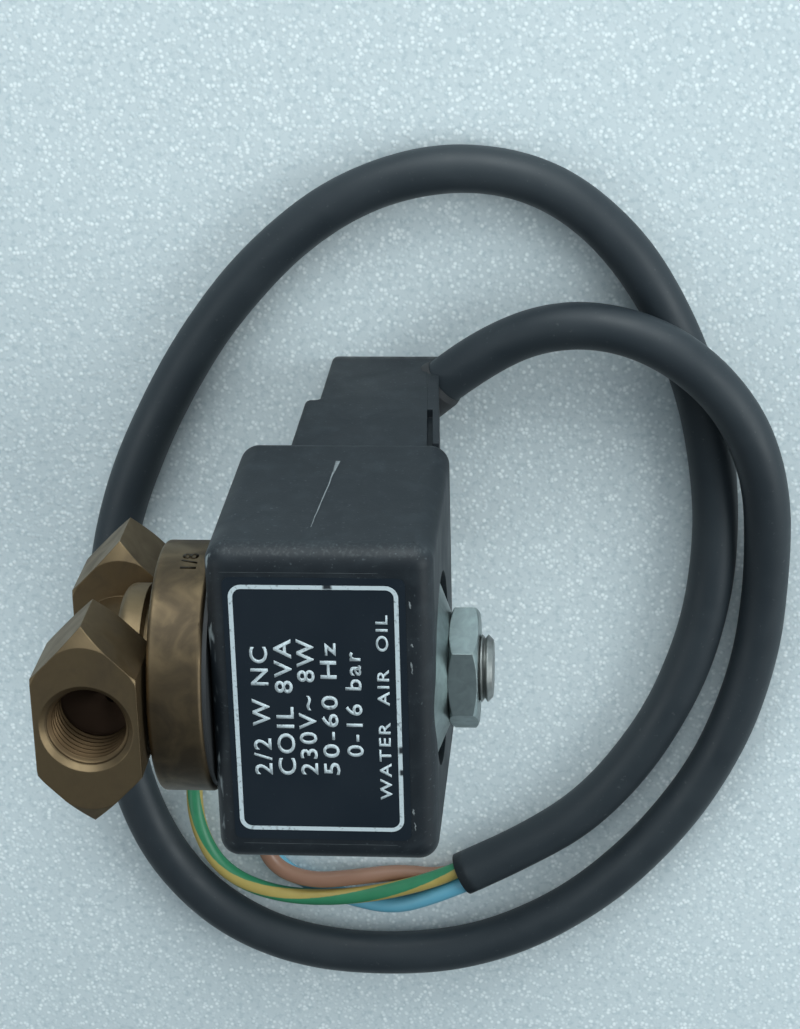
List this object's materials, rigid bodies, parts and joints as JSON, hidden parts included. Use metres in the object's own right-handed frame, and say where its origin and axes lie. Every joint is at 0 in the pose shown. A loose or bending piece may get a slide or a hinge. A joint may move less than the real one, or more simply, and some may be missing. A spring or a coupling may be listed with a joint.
{
  "type": "solenoid valve",
  "caption": "Direct-acting solenoid valve: brass body with two threaded hexagonal ports, black moulded coil, hex nut on the stud, and a lead with bared ends.",
  "frame": {"origin": "middle of the valve's footprint on the surface under its terminal block, without the lead", "axes": "+X along the valve axis from the brass body to the nut, +Z out of the printed face of the coil"},
  "size_m": [0.099, 0.1265, 0.0725],
  "materials": {
    "coil_moulding": "fine-grained black moulding",
    "terminal_cover": "fine-grained black moulding",
    "cable_gland": "matt black rubber",
    "yoke_frame": "zinc plated",
    "yoke_end_plate": "zinc plated",
    "flux_sleeve": "turned",
    "bobbin": "natural nylon",
    "winding": "enamelled copper wire",
    "terminal_posts": "stamped",
    "inner_leads": "insulated leads",
    "dished_washer": "zinc plated",
    "stud_seal": "black rubber",
    "cable_sheath": "smooth dark flexible sheath",
    "core_brown": "smooth brown insulation",
    "core_blue": "smooth light blue insulation",
    "core_green_yellow": "green with a yellow stripe",
    "copper_ends": "bare stranded copper",
    "port_body": "turned, aged",
    "seat_nozzle": "turned",
    "tube_oring": "black rubber",
    "guide_tube": "drawn stainless",
    "fixed_core": "turned stainless",
    "shading_ring": "copper",
    "return_spring": "spring wire",
    "flange_gasket": "black flat gasket",
    "plunger": "ground stainless",
    "plunger_seal": "black rubber",
    "hex_nut": "zinc plated"
  },
  "bodies": {
    "coil": {"coil_moulding": "coil_moulding", "terminal_cover": "terminal_cover", "cable_gland": "cable_gland", "yoke_frame": "yoke_frame", "yoke_end_plate": "yoke_end_plate", "flux_sleeve": "flux_sleeve", "bobbin": "bobbin", "winding": "winding", "terminal_posts": "terminal_posts", "inner_leads": "inner_leads", "dished_washer": "dished_washer", "stud_seal": "stud_seal", "cable_sheath": "cable_sheath", "core_brown": "core_brown", "core_blue": "core_blue", "core_green_yellow": "core_green_yellow", "copper_ends": "copper_ends"},
    "valve": {"port_body": "port_body", "seat_nozzle": "seat_nozzle", "tube_oring": "tube_oring", "guide_tube": "guide_tube", "fixed_core": "fixed_core", "shading_ring": "shading_ring", "return_spring": "return_spring", "flange_gasket": "flange_gasket"},
    "plunger": {"plunger": "plunger", "plunger_seal": "plunger_seal"},
    "nut": {"hex_nut": "hex_nut"}
  },
  "joints": [
    {"name": "body_swivel", "type": "hinge", "parent": "coil", "child": "valve", "pos_m": [-0.0065, -0.0004, 0.055], "axis": [1, 0, 0], "continuous": true},
    {"name": "plunger_slide", "type": "slide", "parent": "valve", "child": "plunger", "axis": [1, 0, 0], "range_m": [0, 0.0016], "stiffness_N_per_m": 400, "springref_m": -0.002, "deforming": ["return_spring"]},
    {"name": "nut_turn", "type": "hinge", "parent": "valve", "child": "nut", "pos_m": [0.023, -0.0004, 0.055], "axis": [1, 0, 0], "continuous": true}
  ]
}
